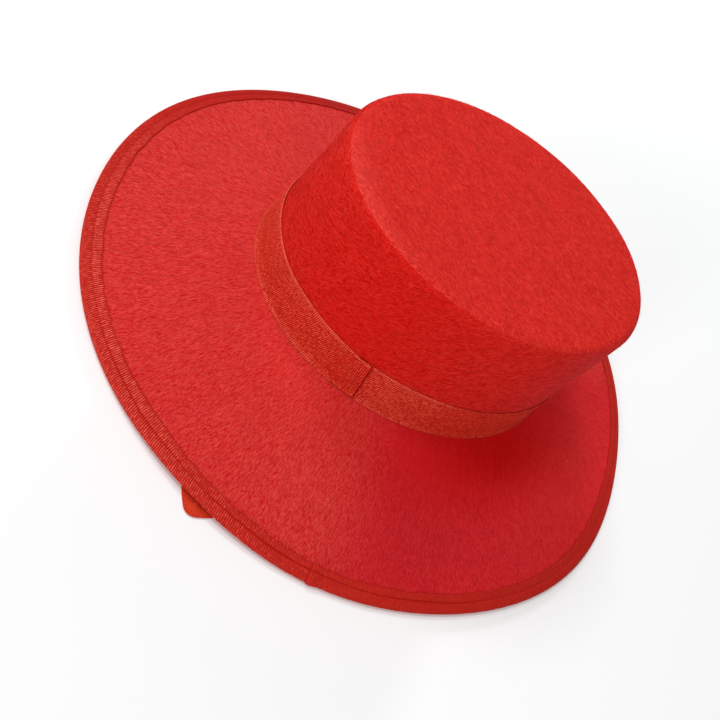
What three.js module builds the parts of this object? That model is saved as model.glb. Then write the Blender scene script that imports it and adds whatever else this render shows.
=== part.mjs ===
// A cordobes hat: a stiff felt hat with a flat elliptical crown, a wide brim that droops evenly to its
// edge, a ribbon band, a bound edge and a ribbon chin strap.
//
// Units are millimetres. +Z is up, the hat's front is -Y and the wearer's left is +X. The origin lies on
// the surface that the brim's edge rests on, under the middle of the crown.
//
// Sections are drawn as points {r, z}: r is the mean of the two half-widths of the ellipse through the
// point, and z is its height. onHat() turns such a point and an angle into a place on the hat.

import * as THREE from 'three';

// Driving dimensions.
const FELT = 1.6;
const RIBBON = 1.0;
const GAP = 0.3;

const BRIM_EDGE = { x: 178.2, y: 192.5 };
const CROWN_FOOT = { x: 81.3, y: 102.1, z: 27.2 };
const CROWN_TOP = { x: 76.7, y: 96.8, z: 121.6 };
const TOP_DOME = 1.2;
const TOP_ROUNDING = 6;
const FOOT_ROUNDING = 3;

const BAND_TOP = 55.2;
const BAND_JOIN_ANGLE = -22;
const BAND_LAP = 9;
const BAND_LAP_RISE = 14;

const BINDING_WIDTH = 11.2;
const BINDING_FOOT = 2.4;

const STRAP = { width: 8, thickness: 1, clearOfFloor: 0.15 };
const STRAP_STEPS_A_POINT = 2;
// Where the strap turns back, just past the brim's edge: the turn's centre, its radius along the
// strap's middle, and the headings in degrees with which the strap enters and leaves it.
const STRAP_TURN = { x: 154.65, y: -90.3, radius: 4.4, enter: -70, leave: -163, bank: 6 };

// The brim is cut by hand, so in plan its edge strays a little from a true ellipse: each row adds
// amount * cos(waves * (angle - angleOfCrest)) to its radius.
const EDGE_STRAYS = [
  { waves: 3, amount: 0.6, angleOfCrest: 2 },
  { waves: 4, amount: 0.7, angleOfCrest: 27 },
  { waves: 5, amount: 1.0, angleOfCrest: -28 },
  { waves: 6, amount: 0.95, angleOfCrest: -5 },
];

// Where the chin strap passes under it, the edge lifts off the surface.
const EDGE_LIFT = { angle: -31, halfWidth: 24, lift: 2.0 };

const SEGMENTS_ROUND = 96;
const ARC_STEPS = 3;

const rad = THREE.MathUtils.degToRad;
const lerp = THREE.MathUtils.lerp;

const meanOf = (size) => (size.x + size.y) / 2;
const spreadOf = (size) => (size.y - size.x) / 2;

const FOOT_R = meanOf(CROWN_FOOT);
const TOP_R = meanOf(CROWN_TOP);
const EDGE_R = meanOf(BRIM_EDGE);
const FELT_EDGE_R = EDGE_R - RIBBON - GAP;
const FELT_EDGE_TOP = RIBBON + GAP + FELT;

// ---------------------------------------------------------------------------------------------------
// From a section to the hat

/** How far out on the brim a mean radius lies: 0 at the crown's foot and 1 at the edge. */
function outward(r) {
  return THREE.MathUtils.clamp((r - FOOT_R) / (EDGE_R - FOOT_R), 0, 1);
}

/** Height that the lift adds at an angle in degrees and at mean radius r. */
function liftAt(angle, r) {
  const away = Math.abs(THREE.MathUtils.euclideanModulo(angle - EDGE_LIFT.angle + 180, 360) - 180);
  const share = Math.min(away / EDGE_LIFT.halfWidth, 1);
  return EDGE_LIFT.lift * Math.cos((share * Math.PI) / 2) ** 2 * outward(r) ** 2;
}

/** What the edge's strays add to the radius at an angle in degrees and at mean radius r. */
function strayAt(angle, r) {
  let stray = 0;
  for (const { waves, amount, angleOfCrest } of EDGE_STRAYS) {
    stray += amount * Math.cos(rad(waves * (angle - angleOfCrest)));
  }
  return stray * outward(r) ** 2;
}

/** Half the difference between the ellipse's two half-widths at a section point. */
function spread({ r, z }) {
  if (r > FOOT_R) {
    return lerp(spreadOf(CROWN_FOOT), spreadOf(BRIM_EDGE), (r - FOOT_R) / (EDGE_R - FOOT_R));
  }
  const up = THREE.MathUtils.clamp((z - CROWN_FOOT.z) / (CROWN_TOP.z - CROWN_FOOT.z), 0, 1);
  return (lerp(spreadOf(CROWN_FOOT), spreadOf(CROWN_TOP), up) * r) / lerp(FOOT_R, TOP_R, up);
}

/** The place on the hat of a section point at an angle in degrees, 0 at +X and 90 at +Y. */
function onHat(point, angle) {
  const s = spread(point);
  const r = point.r + strayAt(angle, point.r);
  return new THREE.Vector3(
    (r - s) * Math.cos(rad(angle)),
    (r + s) * Math.sin(rad(angle)),
    point.z + liftAt(angle, point.r),
  );
}

/** A closed solid through a row of loops, each with the same number of points. */
function loft(loops, { ring }) {
  const positions = loops.flat().flatMap((p) => p.toArray());
  const count = loops[0].length;
  const indices = [];
  const spans = ring ? loops.length : loops.length - 1;
  for (let i = 0; i < spans; i++) {
    const here = i * count;
    const next = ((i + 1) % loops.length) * count;
    for (let j = 0; j < count; j++) {
      const k = (j + 1) % count;
      indices.push(here + j, next + k, next + j, here + j, here + k, next + k);
    }
  }
  if (!ring) {
    const last = (loops.length - 1) * count;
    for (let j = 1; j < count - 1; j++) {
      indices.push(0, j + 1, j);
      indices.push(last, last + j, last + j + 1);
    }
  }
  const geometry = new THREE.BufferGeometry();
  geometry.setAttribute('position', new THREE.Float32BufferAttribute(positions, 3));
  geometry.setIndex(indices);
  geometry.computeVertexNormals();
  return geometry;
}

/** A section swept all the way round the hat. */
function roundTheHat(section) {
  const loops = [];
  for (let i = 0; i < SEGMENTS_ROUND; i++) {
    const angle = (i * 360) / SEGMENTS_ROUND;
    loops.push(section.map((point) => onHat(point, angle)));
  }
  return loft(loops, { ring: true });
}

// ---------------------------------------------------------------------------------------------------
// Outline of the felt

/** Unit vector from one section point to another. */
function direction(from, to) {
  const length = Math.hypot(to.r - from.r, to.z - from.z);
  return { r: (to.r - from.r) / length, z: (to.z - from.z) / length };
}

/** Points of an arc of a given radius that rounds a corner between two straight stretches. */
function roundedCorner(before, corner, after, radius) {
  const back = direction(corner, before);
  const on = direction(corner, after);
  const half = Math.acos(back.r * on.r + back.z * on.z) / 2;
  const setBack = radius / Math.tan(half);
  const start = { r: corner.r + back.r * setBack, z: corner.z + back.z * setBack };
  const end = { r: corner.r + on.r * setBack, z: corner.z + on.z * setBack };
  const toCentre = direction({ r: 0, z: 0 }, { r: back.r + on.r, z: back.z + on.z });
  const centre = {
    r: corner.r + (toCentre.r * radius) / Math.sin(half),
    z: corner.z + (toCentre.z * radius) / Math.sin(half),
  };
  const a0 = Math.atan2(start.z - centre.z, start.r - centre.r);
  const a1 = Math.atan2(end.z - centre.z, end.r - centre.r);
  const turn = THREE.MathUtils.euclideanModulo(a1 - a0 + Math.PI, 2 * Math.PI) - Math.PI;
  return Array.from({ length: ARC_STEPS + 1 }, (_, i) => {
    const a = a0 + (turn * i) / ARC_STEPS;
    return { r: centre.r + radius * Math.cos(a), z: centre.z + radius * Math.sin(a) };
  });
}

/** The felt's face at a depth below its outer face, from the axis down to the brim's edge. */
function feltFace(depth) {
  const wall = direction({ r: TOP_R, z: CROWN_TOP.z }, { r: FOOT_R, z: CROWN_FOOT.z });
  const slope = direction({ r: FOOT_R, z: CROWN_FOOT.z }, { r: FELT_EDGE_R, z: FELT_EDGE_TOP });
  // A shift by depth of two straight stretches moves their shared corner along both normals.
  const top = { r: TOP_R - depth * (-wall.z + wall.r), z: CROWN_TOP.z - depth };
  const cross = wall.r * slope.z - wall.z * slope.r;
  const along = (depth * (1 - (wall.r * slope.r + wall.z * slope.z))) / cross;
  const foot = {
    r: FOOT_R + depth * wall.z + wall.r * along,
    z: CROWN_FOOT.z - depth * wall.r + wall.z * along,
  };
  const edge = { r: FELT_EDGE_R, z: FELT_EDGE_TOP - depth / slope.r };
  const centre = { r: 0, z: CROWN_TOP.z + TOP_DOME - depth };
  const halfway = { r: top.r * 0.5, z: centre.z - TOP_DOME * 0.35 };
  return [
    centre,
    halfway,
    ...roundedCorner({ r: 0, z: top.z }, top, foot, TOP_ROUNDING - depth),
    ...roundedCorner(top, foot, edge, FOOT_ROUNDING + depth),
    ...[0.35, 0.7].map((t) => ({ r: lerp(foot.r, edge.r, t), z: lerp(foot.z, edge.z, t) })),
    edge,
  ];
}

/** Height of the felt's face at a depth below the outer one, where it slopes down to the edge. */
function brimHeight(r, depth) {
  const face = feltFace(depth);
  const edge = face[face.length - 1];
  const inner = face[face.length - 3];
  return edge.z + ((r - edge.r) * (inner.z - edge.z)) / (inner.r - edge.r);
}

// ---------------------------------------------------------------------------------------------------
// The pieces

function feltBody() {
  return roundTheHat([...feltFace(0), ...feltFace(FELT).reverse()]);
}

/** The band's inner or outer face, from its foot on the brim up to its top edge. */
function bandFace(standOff) {
  const face = feltFace(-standOff);
  const rounding = face.slice(2 + ARC_STEPS + 1, 2 + 2 * (ARC_STEPS + 1));
  const foot = rounding.reverse().slice(1);
  const top = face[1 + ARC_STEPS + 1];
  const t = (BAND_TOP - foot[foot.length - 1].z) / (top.z - foot[foot.length - 1].z);
  return [...foot, { r: lerp(foot[foot.length - 1].r, top.r, t), z: BAND_TOP }];
}

function hatBand() {
  const around = 2 * Math.PI * FOOT_R;
  const lap = (BAND_LAP / around) * 360;
  const rise = (BAND_LAP_RISE / around) * 360;
  const steps = SEGMENTS_ROUND;
  const loops = [];
  const angles = [];
  for (let i = 0; i < steps; i++) {
    angles.push((i * 360) / steps);
  }
  angles.push(360, 360 + lap);
  for (const turned of angles) {
    const climb = THREE.MathUtils.smoothstep(turned, 360 - rise, 360 - rise * 0.15);
    const standOff = GAP + climb * (RIBBON + GAP);
    const section = [...bandFace(standOff), ...bandFace(standOff + RIBBON).reverse()];
    loops.push(section.map((point) => onHat(point, BAND_JOIN_ANGLE + turned)));
  }
  return loft(loops, { ring: false });
}

function brimBinding() {
  const inner = EDGE_R - BINDING_WIDTH;
  const nose = (RIBBON + GAP + FELT + GAP + RIBBON) / 2;
  const section = [
    { r: inner, z: brimHeight(inner, -GAP - RIBBON) },
    { r: EDGE_R - nose, z: brimHeight(EDGE_R - nose, -GAP - RIBBON) },
    { r: EDGE_R - nose * 0.25, z: nose * 1.62 },
    { r: EDGE_R, z: nose },
    { r: EDGE_R - nose * 0.25, z: nose * 0.35 },
    { r: EDGE_R - nose * 0.5, z: 0 },
    { r: EDGE_R - nose * 0.5 - BINDING_FOOT, z: 0 },
    { r: inner, z: brimHeight(inner, FELT + GAP + RIBBON) },
    { r: inner, z: brimHeight(inner, FELT + GAP) },
    { r: FELT_EDGE_R + GAP, z: brimHeight(FELT_EDGE_R + GAP, FELT + GAP) },
    { r: FELT_EDGE_R + GAP, z: brimHeight(FELT_EDGE_R + GAP, -GAP) },
    { r: inner, z: brimHeight(inner, -GAP) },
  ];
  return roundTheHat(section);
}

/**
 * The strap's middle line, chosen by hand: down the crown's left wall, out under the brim, round its
 * turn, back across under the crown and up the right wall. heading is the way it goes, in degrees
 * from +X, and its width lies square to that.
 */
function strapRoute() {
  const floor = STRAP.clearOfFloor + STRAP.thickness / 2;
  const leftLeg = [
    { x: 77.35, y: 0, z: 44, heading: 0 },
    { x: 77.8, y: 0, z: 37, heading: 0 },
    { x: 78.2, y: 0, z: 30, heading: 0 },
    { x: 79.2, y: -1, z: 20, heading: -15 },
    { x: 83, y: -5, z: 11, heading: -34 },
    { x: 91, y: -13.5, z: 4.5, heading: -44 },
    { x: 101, y: -25, z: 1.5, heading: -46 },
    { x: 113, y: -38.5, z: floor, heading: -46 },
    { x: 132, y: -57, z: floor, heading: -44 },
    { x: 147, y: -71, z: floor, heading: -49 },
    { x: 155.9, y: -80.9, z: floor, heading: -64 },
  ];
  const rightLeg = [
    { x: 146.3, y: -97.4, z: floor, heading: -167 },
    { x: 126, y: -98.8, z: floor, heading: -183 },
    { x: 90, y: -88, z: floor, heading: -200 },
    { x: 50, y: -70, z: floor, heading: -208 },
    { x: 10, y: -47, z: floor, heading: -210 },
    { x: -28, y: -25, z: floor, heading: -210 },
    { x: -52, y: -12, z: floor, heading: -207 },
    { x: -65, y: -6, z: 1.8, heading: -202 },
    { x: -74, y: -2, z: 7, heading: -190 },
    { x: -77.6, y: -0.3, z: 17, heading: -183 },
    { x: -78.2, y: 0, z: 30, heading: -180 },
    { x: -77.8, y: 0, z: 37, heading: -180 },
    { x: -77.35, y: 0, z: 44, heading: -180 },
  ];
  const turn = [];
  const bankRise = (STRAP.width / 2) * Math.sin(rad(STRAP_TURN.bank));
  for (let i = 0; i <= 6; i++) {
    const heading = lerp(STRAP_TURN.enter, STRAP_TURN.leave, i / 6);
    const bank = STRAP_TURN.bank * Math.sin((Math.PI * i) / 6);
    turn.push({
      x: STRAP_TURN.x - STRAP_TURN.radius * Math.sin(rad(heading)),
      y: STRAP_TURN.y + STRAP_TURN.radius * Math.cos(rad(heading)),
      z: floor + (bankRise * bank) / STRAP_TURN.bank,
      heading,
      bank,
    });
  }
  return [...leftLeg, ...turn, ...rightLeg];
}

/** The strap's section, across its width and through its thickness, with its corners taken off. */
function strapSection() {
  const w = STRAP.width / 2;
  const t = STRAP.thickness / 2;
  const c = t * 0.5;
  return [[w, c], [w - c, t], [c - w, t], [-w, c], [-w, -c], [c - w, -t], [w - c, -t], [w, -c]];
}

function chinStrap() {
  const route = strapRoute();
  const line = new THREE.CatmullRomCurve3(route.map(({ x, y, z }) => new THREE.Vector3(x, y, z)));
  const steps = (route.length - 1) * STRAP_STEPS_A_POINT;
  const loops = [];
  for (let i = 0; i <= steps; i++) {
    const at = Math.min(Math.floor(i / STRAP_STEPS_A_POINT), route.length - 2);
    const part = i / STRAP_STEPS_A_POINT - at;
    const heading = rad(lerp(route[at].heading, route[at + 1].heading, part));
    const bank = rad(lerp(route[at].bank ?? 0, route[at + 1].bank ?? 0, part));
    const tangent = line.getTangent(i / steps);
    const across = new THREE.Vector3(
      -Math.sin(heading) * Math.cos(bank),
      Math.cos(heading) * Math.cos(bank),
      -Math.sin(bank),
    );
    across.addScaledVector(tangent, -across.dot(tangent)).normalize();
    const outOfFace = new THREE.Vector3().crossVectors(tangent, across);
    const middle = line.getPoint(i / steps);
    loops.push(
      strapSection().map(([w, t]) => middle.clone().addScaledVector(across, w).addScaledVector(outOfFace, t)),
    );
  }
  return loft(loops, { ring: false });
}

const PIECES = [
  { name: 'felt_body', make: feltBody, color: 0xcf2a26, roughness: 0.95 },
  { name: 'hat_band', make: hatBand, color: 0xc43a22, roughness: 0.7 },
  { name: 'brim_binding', make: brimBinding, color: 0xc03522, roughness: 0.7 },
  { name: 'chin_strap', make: chinStrap, color: 0xc43a22, roughness: 0.7 },
];

const hat = new THREE.Group();
hat.name = 'cordobes_hat';
for (const { name, make, color, roughness } of PIECES) {
  const material = new THREE.MeshStandardMaterial({ color, roughness, metalness: 0 });
  const mesh = new THREE.Mesh(make(), material);
  mesh.name = name;
  hat.add(mesh);
}

export default hat;
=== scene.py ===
"""The looks of a red cordobes hat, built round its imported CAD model.

Everything is in metres, in the frame of the CAD model: +Z up, the hat's front at -Y, the wearer's left
at +X, and the origin on the floor under the middle of the crown. Sections are pairs (r, z): r is the
mean of the two half-widths of the ellipse through the point and z is its height. on_hat() turns such a
point and an angle in degrees into a place on the hat.
"""

import math

import bpy
import numpy as np
from mathutils import Matrix, Vector


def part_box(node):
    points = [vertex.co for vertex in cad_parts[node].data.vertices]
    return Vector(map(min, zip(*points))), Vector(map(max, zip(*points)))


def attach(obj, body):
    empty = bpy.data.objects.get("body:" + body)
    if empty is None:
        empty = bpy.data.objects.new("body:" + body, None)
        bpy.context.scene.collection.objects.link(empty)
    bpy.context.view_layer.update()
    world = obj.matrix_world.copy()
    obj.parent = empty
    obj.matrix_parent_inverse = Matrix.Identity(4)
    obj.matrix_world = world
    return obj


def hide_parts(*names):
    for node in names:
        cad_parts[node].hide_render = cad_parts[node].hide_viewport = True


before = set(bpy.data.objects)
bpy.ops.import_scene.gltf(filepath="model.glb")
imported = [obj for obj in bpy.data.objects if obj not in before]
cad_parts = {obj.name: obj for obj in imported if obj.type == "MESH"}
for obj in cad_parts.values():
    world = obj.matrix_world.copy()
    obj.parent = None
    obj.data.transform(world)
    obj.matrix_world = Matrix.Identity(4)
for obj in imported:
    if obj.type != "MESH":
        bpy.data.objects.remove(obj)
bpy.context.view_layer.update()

# --- Driving sizes ---

FELT = 0.0016
FELT_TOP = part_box("felt_body")[1].z
TOP_DOME = 0.0012
TOP_ROUNDING = 0.006
FOOT_ROUNDING = 0.003

BAND_FOOT, BAND_TOP = (corner.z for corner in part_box("hat_band"))
CROWN_FOOT = {"x": 0.0813, "y": 0.1021, "z": 0.0272}
CROWN_TOP = {"x": 0.0767, "y": 0.0968, "z": FELT_TOP - TOP_DOME}
BRIM_EDGE = {"x": 0.1782, "y": 0.1925}

# The CAD ribbons are 1 mm walls, 0.3 mm clear of the felt; the real ones are thinner and lie on it.
CAD_RIBBON = 0.0010
CAD_GAP = 0.0003
RIBBON = 0.0006
RIB_RELIEF = 0.00012

BAND_RIB = 0.00108
BAND_JOIN_ANGLE = -22
BAND_LAP = 0.009
BAND_LAP_RISE = 0.014
BAND_LAP_SLANT = 0.0045
BAND_LEAN = 16

BINDING_RIB = 0.00125
BINDING_WIDTH = 0.0100
BINDING_FOOT = 0.0024
BINDING_SEAM = 0.0054
BINDING_JOIN_ANGLE = -8.2
# Where the hand-laid tape reaches farther in over the brim or less far: a stretch's middle and half width
# in degrees, and how much farther.
BINDING_REACHES = [(-52, 32, 0.0014), (-2, 12, -0.0009), (66, 14, 0.0010)]

# What the hand-cut edge adds to the radius, in waves: how many go round, how high they are and where
# one has its crest.
EDGE_STRAYS = [(3, 0.0006, 2), (4, 0.0007, 27), (5, 0.0010, -28), (6, 0.00095, -5)]
EDGE_LIFT = {"angle": -31, "half_width": 24, "lift": 0.002}

STRAP_WIDTH = 0.008
STRAP_RIB = 0.0009
STRAP_FLOOR = 0.00065
STRAP_EXIT = (0.07735, 0.0, 0.044)
# The strap's turn at the loop that shows: its centre and radius, the headings before and after it, and
# how far the strap banks at its middle.
STRAP_TURN = {
    "x": 0.15465, "y": -0.0903, "radius": 0.0044, "enter": -70, "leave": -163, "bank": 6, "steps": 6,
}
STRAP_PICOT = 0.00012

CAMERA = {
    "target": (0.05433, -0.02808, 0.0276),
    "azimuth": 58.42,
    "elevation": 47.9,
    "distance": 0.49266,
    "roll": -48.53,
    "lens": 44.01,
}


# --- Scene and camera ---


def direction_at(azimuth, elevation):
    """Unit vector from the hat towards a viewer; azimuth 0 is at the hat's front and 90 at its left."""
    a, e = math.radians(azimuth), math.radians(elevation)
    return Vector((math.sin(a) * math.cos(e), -math.cos(a) * math.cos(e), math.sin(e)))


def show(name, data):
    """A new object of the scene."""
    thing = bpy.data.objects.new(name, data)
    bpy.context.scene.collection.objects.link(thing)
    return thing


def make_camera():
    azimuth, roll = math.radians(CAMERA["azimuth"]), math.radians(CAMERA["roll"])
    back = direction_at(CAMERA["azimuth"], CAMERA["elevation"])
    right = Vector((math.cos(azimuth), math.sin(azimuth), 0))
    up = back.cross(right)
    c, s = math.cos(roll), math.sin(roll)
    axes = Matrix((right * c - up * s, right * s + up * c, back)).transposed()
    place = Vector(CAMERA["target"]) + back * CAMERA["distance"]
    data = bpy.data.cameras.new("camera")
    data.sensor_width = 36
    data.lens = CAMERA["lens"]
    data.clip_start = 0.01
    data.clip_end = 50
    camera = show("camera", data)
    camera.matrix_world = Matrix.Translation(place) @ axes.to_4x4()
    bpy.context.scene.camera = camera


make_camera()

# --- Numbers ---


def lerp(a, b, t):
    return a + (b - a) * t


def smooth(t):
    """0 below 0, 1 above 1 and an S-curve between."""
    t = np.clip(t, 0, 1)
    return t * t * (3 - 2 * t)


def ripple(points, wavelength, seed, waves=14):
    """A smooth random field with a spread of about 1: a sum of seeded plane waves."""
    rng = np.random.default_rng(seed)
    total = np.zeros(points.shape[:-1])
    for _ in range(waves):
        heading = rng.normal(size=3)
        heading /= np.linalg.norm(heading)
        turns = points @ heading / (wavelength * rng.uniform(0.6, 1.7))
        total += np.cos(2 * math.pi * (turns + rng.uniform()))
    return total * math.sqrt(2 / waves)


def joined(*numbers):
    """Numbers or arrays of them side by side along a last axis, such as x, y and z."""
    return np.stack(np.broadcast_arrays(*numbers), -1)


def unit(vectors):
    return vectors / np.maximum(np.linalg.norm(vectors, axis=-1, keepdims=True), 1e-12)


def run_along(path):
    """How far along a path each of its points lies."""
    return np.concatenate([[0], np.cumsum(np.linalg.norm(np.diff(path, axis=0), axis=1))])


def degrees_past(middle, angle):
    """How far an angle lies past a middle angle, from -180 to 180."""
    return (angle - middle + 180) % 360 - 180


def bell(angle, middle, half_width):
    """1 at the middle angle, falling off smoothly on both sides of it."""
    return np.exp(-((degrees_past(middle, angle) / half_width) ** 2))


def rib_bulge(position, pitch):
    """Height of a ribbon's rib, from 0 in the groove to 1 on the crest."""
    return 1 - (2 * ((position / pitch) % 1) - 1) ** 2


# --- From a section to the hat ---


def mean_of(size):
    return (size["x"] + size["y"]) / 2


def spread_of(size):
    return (size["y"] - size["x"]) / 2


FOOT_R, TOP_R, EDGE_R = mean_of(CROWN_FOOT), mean_of(CROWN_TOP), mean_of(BRIM_EDGE)
FELT_EDGE_R = EDGE_R - CAD_RIBBON - CAD_GAP
FELT_EDGE_TOP = CAD_RIBBON + CAD_GAP + FELT


def outward(r):
    """0 at the crown's foot and 1 at the brim's edge."""
    return np.clip((r - FOOT_R) / (EDGE_R - FOOT_R), 0, 1)


def lift_at(angle, r):
    share = np.clip(degrees_past(EDGE_LIFT["angle"], angle) / EDGE_LIFT["half_width"], -1, 1)
    return EDGE_LIFT["lift"] * np.cos(share * math.pi / 2) ** 2 * outward(r) ** 2


def stray_at(angle, r):
    stray = sum(high * np.cos(np.radians(waves * (angle - crest))) for waves, high, crest in EDGE_STRAYS)
    return stray * outward(r) ** 2


def spread(r, z):
    """Half the difference between the ellipse's two half-widths."""
    up = np.clip((z - CROWN_FOOT["z"]) / (CROWN_TOP["z"] - CROWN_FOOT["z"]), 0, 1)
    crown = lerp(spread_of(CROWN_FOOT), spread_of(CROWN_TOP), up) * r / lerp(FOOT_R, TOP_R, up)
    brim = lerp(spread_of(CROWN_FOOT), spread_of(BRIM_EDGE), outward(r))
    return np.where(r > FOOT_R, brim, crown)


def on_hat(r, z, angle):
    """Places on the hat, as an array whose last axis is x, y, z."""
    r, z, angle = np.broadcast_arrays(r, z, angle)
    s = spread(r, z)
    wide = r + stray_at(angle, r)
    a = np.radians(angle)
    place = joined((wide - s) * np.cos(a), (wide + s) * np.sin(a), z + lift_at(angle, r))
    return place + unevenness(place, r, z)


# How far hand-moulded felt strays from its true form, in waves of two lengths.
UNEVEN = [
    {"wave": 0.085, "seed": 11, "wall": 0.00022, "brim": 0.00030},
    {"wave": 0.030, "seed": 12, "wall": 0.00008, "brim": 0.00012},
]


def unevenness(place, r, z):
    """How far the felt, and what is sewn to it, stray at some places."""
    out = outward(r)
    up = smooth((z - 0.03) / 0.03) * (r < FOOT_R + 0.002)
    ripples = [ripple(place, row["wave"], row["seed"]) for row in UNEVEN]
    wall, brim = (sum(row[part] * wave for row, wave in zip(UNEVEN, ripples)) for part in ("wall", "brim"))
    radial = unit(place * [1, 1, 0]) * (wall * up)[..., None]
    bob = brim * np.sin(math.pi * out) * smooth((1 - out) / 0.15) * (r > FOOT_R)
    return radial + bob[..., None] * np.array([0, 0, 1.0])


# --- Meshes ---


def grid_faces(columns, rows, closed_columns=False, closed_rows=False):
    """Quads of a grid of vertices that is stored column by column."""
    i = np.arange(columns if closed_columns else columns - 1)[:, None]
    j = np.arange(rows if closed_rows else rows - 1)[None, :]
    i2, j2 = (i + 1) % columns, (j + 1) % rows
    quads = joined(i * rows + j, i2 * rows + j, i2 * rows + j2, i * rows + j2)
    return quads.reshape(-1, 4)


def make_piece(name, points, faces, material, attributes):
    """A mesh object that rides on the hat. faces is a list of arrays of quads or triangles."""
    points = np.asarray(points).reshape(-1, 3)
    mesh = bpy.data.meshes.new(name)
    mesh.from_pydata(points.tolist(), [], [face for part in faces for face in part.tolist()])
    for key, values in attributes.items():
        values = np.asarray(values, np.float32)
        if values.shape[-1:] == (3,):
            kind, slot_name, values = "FLOAT_VECTOR", "vector", values.reshape(-1, 3)
        else:
            kind, slot_name, values = "FLOAT", "value", values.ravel()
        domain = "POINT" if len(values) == len(points) else "CORNER"
        layer = mesh.attributes.new(key, kind, domain)
        layer.data.foreach_set(slot_name, values.ravel())
    mesh.shade_smooth()
    mesh.materials.append(material)
    piece = show(name, mesh)
    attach(piece, "root")
    return piece


def make_ribbon(name, key, points, faces, weave, node):
    """A ribbon that stands for a CAD node. weave holds its points' places along and across it and tones."""
    layers = {"weave": joined(*weave)}
    piece = make_piece(name, points, faces, MATERIALS[key], layers)
    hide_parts(node)
    return piece


# --- Materials ---


class Nodes:
    """A short way to write a material's node tree."""

    def __init__(self, name):
        self.material = bpy.data.materials.new(name)
        self.material.use_nodes = True
        self.tree = self.material.node_tree
        self.shader = self.tree.nodes["Principled BSDF"]

    def add(self, kind, inputs=None, **settings):
        node = self.tree.nodes.new(kind)
        for key, value in settings.items():
            setattr(node, key, value)
        for key, value in (inputs or {}).items():
            self.put(node.inputs[key], value)
        return node

    def put(self, socket, value):
        if isinstance(value, bpy.types.NodeSocket):
            self.tree.links.new(value, socket)
        else:
            socket.default_value = value

    def attribute(self, name, output="Vector"):
        return self.add("ShaderNodeAttribute", attribute_name=name).outputs[output]

    def noise(self, vector, scale, detail=2.0, roughness=0.5, distortion=0.0):
        """Noise with its own scale along each of the vector's axes, in waves to the metre."""
        stretched = self.add("ShaderNodeVectorMath", {0: vector, 1: scale}, operation="MULTIPLY").outputs[0]
        sizes = {
            "Vector": stretched, "Scale": 1.0, "Detail": detail, "Roughness": roughness,
            "Distortion": distortion,
        }
        return self.add("ShaderNodeTexNoise", sizes).outputs["Fac"]

    def math(self, operation, a, b=0.0, clamp=False):
        return self.add("ShaderNodeMath", {0: a, 1: b}, operation=operation, use_clamp=clamp).outputs[0]

    def ranged(self, value, low, high, to_low=0.0, to_high=1.0):
        sizes = {"Value": value, "From Min": low, "From Max": high, "To Min": to_low, "To Max": to_high}
        return self.add("ShaderNodeMapRange", sizes).outputs["Result"]

    def mix(self, factor, a, b, blend="MIX"):
        node = self.add("ShaderNodeMix", data_type="RGBA", blend_type=blend)
        self.put(node.inputs["Factor"], factor)
        self.put(node.inputs["A"], a)
        self.put(node.inputs["B"], b)
        return node.outputs["Result"]

    def bump(self, height, distance, strength=1.0, normal=None):
        node = self.add("ShaderNodeBump", {"Height": height, "Distance": distance, "Strength": strength})
        if normal is not None:
            self.put(node.inputs["Normal"], normal)
        return node.outputs["Normal"]

    def finish(self, color, normal, **numbers):
        self.put(self.shader.inputs["Base Color"], color)
        if normal is not None:
            self.put(self.shader.inputs["Normal"], normal)
        for key, value in numbers.items():
            self.shader.inputs[key.replace("_", " ")].default_value = value
        return self.material


FELT_DEEP = (0.54, 0.0012, 0.0005, 1)
FELT_RED = (0.74, 0.0030, 0.0015, 1)
FELT_TIPS = {"green": 0.082, "blue": 0.060}
FELT_LINT = (0.90, 0.55, 0.45, 1)
FELT_SHINE = {"Specular_IOR_Level": 0.03}


# How much the pale tips of the fibres raise the contrast between them.
TIP_CONTRAST = 3.6


def brushed_with_painted_light(n, tone):
    """Felt's colour from a tone of 0 to 1, with its nap, painted sheen and painted light and shade by place.
    """
    # What the nap adds to green and blue is in part painted sheen, strongest where the light falls.
    green, blue, tips = n.add("ShaderNodeSeparateXYZ", {"Vector": n.attribute("nap_and_sheen")}).outputs
    contrast = n.math("MULTIPLY", tips, TIP_CONTRAST, clamp=True)
    tone = n.math("ADD", n.math("MULTIPLY", n.math("SUBTRACT", tone, 0.5), contrast), 0.5)
    tips = n.math("MULTIPLY", tone, tips)
    green = n.math("ADD", green, n.math("MULTIPLY", tips, FELT_TIPS["green"]))
    blue = n.math("ADD", blue, n.math("MULTIPLY", tips, FELT_TIPS["blue"]))
    added = n.add("ShaderNodeCombineXYZ", {"X": 0.0, "Y": green, "Z": blue}).outputs[0]
    color = n.mix(1.0, n.mix(tone, FELT_DEEP, FELT_RED), added, "ADD")
    # Painted light and shade: the colour is made lighter or darker where light falls on the felt more or
    # less.
    return n.mix(1.0, color, n.attribute("painted_light", "Color"), "MULTIPLY")


def felt_material():
    """Needled felt: streaks of short brushed fibres over a soft cloudy ground, with painted sheen, light and
    shade.
    """
    n = Nodes("red_felt")
    grain = n.attribute("grain")
    streaks = n.noise(grain, (2300, 2300, 380), detail=3, roughness=0.62, distortion=0.4)
    tufts = n.noise(grain, (520, 520, 90), detail=2, roughness=0.5, distortion=0.5)
    clouds = n.noise(grain, (60, 60, 45), detail=2, roughness=0.5)
    tone = n.math("ADD", n.ranged(streaks, 0.40, 0.60, 0.0, 0.9), n.ranged(tufts, 0.40, 0.70, 0.0, 0.12))
    color = brushed_with_painted_light(n, tone)
    color = n.mix(n.math("MULTIPLY", n.ranged(clouds, 0.35, 0.65), 0.07), color, FELT_DEEP)
    normal = n.bump(tufts, 0.00012, 0.4)
    normal = n.bump(streaks, 0.00016, 0.8, normal)
    return n.finish(color, normal, Roughness=0.9, **FELT_SHINE)


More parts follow.
